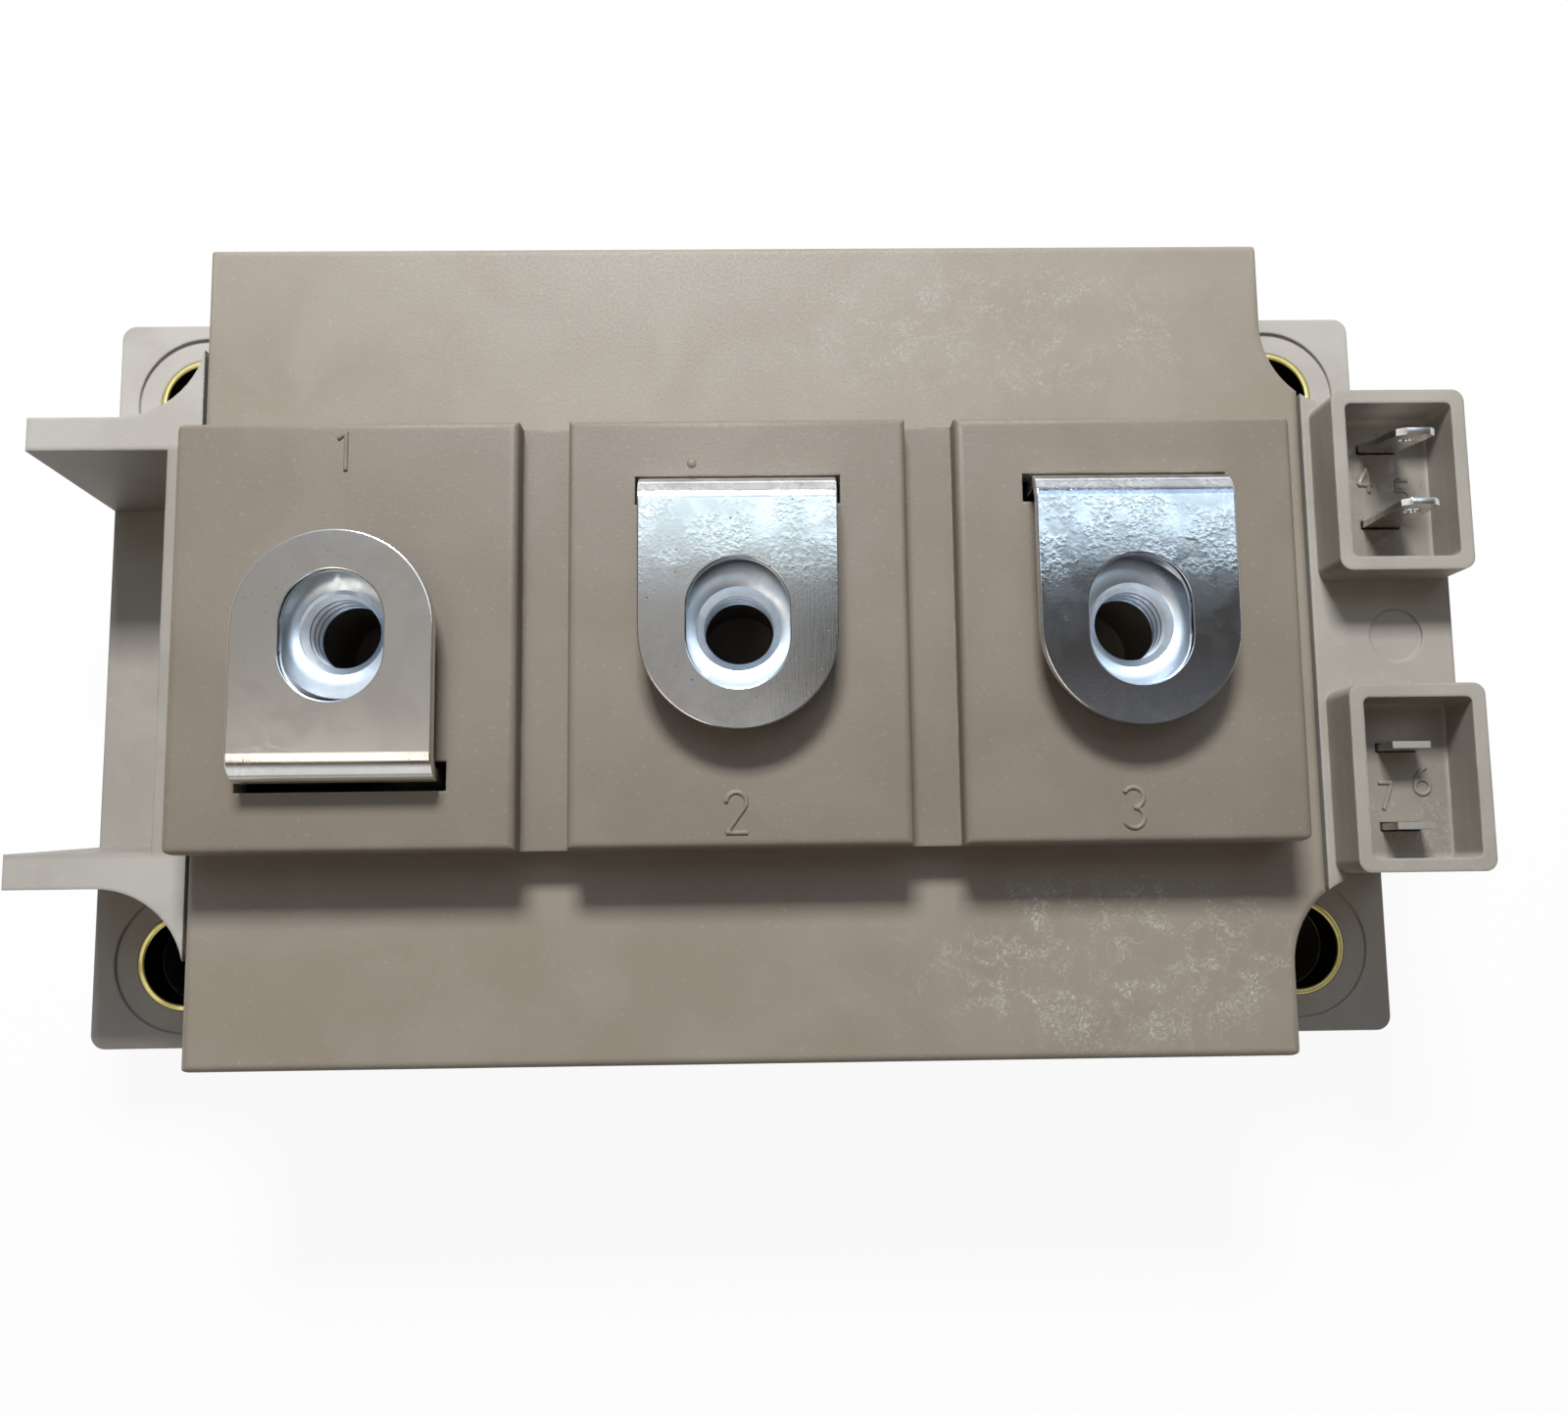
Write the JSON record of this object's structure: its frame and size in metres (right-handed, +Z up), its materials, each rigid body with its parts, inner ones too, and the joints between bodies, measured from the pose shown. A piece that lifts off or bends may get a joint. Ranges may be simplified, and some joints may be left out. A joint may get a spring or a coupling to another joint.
{
  "type": "igbt module",
  "caption": "Half-bridge power switch module: flat base plate, moulded case and lid, folded screw terminals, captive nuts and push-on signal tabs in two wells.",
  "frame": {"origin": "middle of the underside of the base plate", "axes": "+X along the length towards the signal wells, +Y across the width, +Z up through the terminals"},
  "size_m": [0.108, 0.062, 0.03],
  "materials": {
    "base_plate": "nickel-plated copper, fine ground",
    "case_plastic": "glass-filled moulding compound, fine matte grain",
    "lid_plastic": "glass-filled moulding compound, fine matte grain, scuffed",
    "bush_metal": "yellow-passivated steel",
    "terminal_metal": "nickel-plated copper strip, scratched",
    "nut_zinc": "bright zinc plating",
    "lead_metal": "tin-plated strip",
    "copper": "bare copper",
    "board_ceramic": "alumina, unglazed",
    "silicon": "polished silicon with metallised pads",
    "wire_aluminium": "bright drawn wire",
    "gel": "soft clear silicone"
  },
  "bodies": {
    "root": {"base_plate": "base_plate", "case_frame": "case_plastic", "lid": "lid_plastic", "mounting_bush_1": "bush_metal", "mounting_bush_2": "bush_metal", "mounting_bush_3": "bush_metal", "mounting_bush_4": "bush_metal", "main_terminal_1": "terminal_metal", "main_terminal_2": "terminal_metal", "main_terminal_3": "terminal_metal", "terminal_nut_1": "nut_zinc", "terminal_nut_2": "nut_zinc", "terminal_nut_3": "nut_zinc", "signal_lead_1": "lead_metal", "signal_lead_2": "lead_metal", "signal_lead_3": "lead_metal", "signal_lead_4": "lead_metal", "back_copper_left": "copper", "back_copper_right": "copper", "collector_track_left": "copper", "collector_track_right": "copper", "emitter_track_left": "copper", "emitter_track_right": "copper", "signal_tracks_left": "copper", "signal_tracks_right": "copper", "ceramic_board_left": "board_ceramic", "ceramic_board_right": "board_ceramic", "switch_chip_1": "silicon", "switch_chip_2": "silicon", "switch_chip_3": "silicon", "switch_chip_4": "silicon", "diode_chip_1": "silicon", "diode_chip_2": "silicon", "diode_chip_3": "silicon", "diode_chip_4": "silicon", "bond_wires_left": "wire_aluminium", "bond_wires_right": "wire_aluminium", "link_wires": "wire_aluminium", "silicone_gel": "gel"}
  },
  "joints": []
}
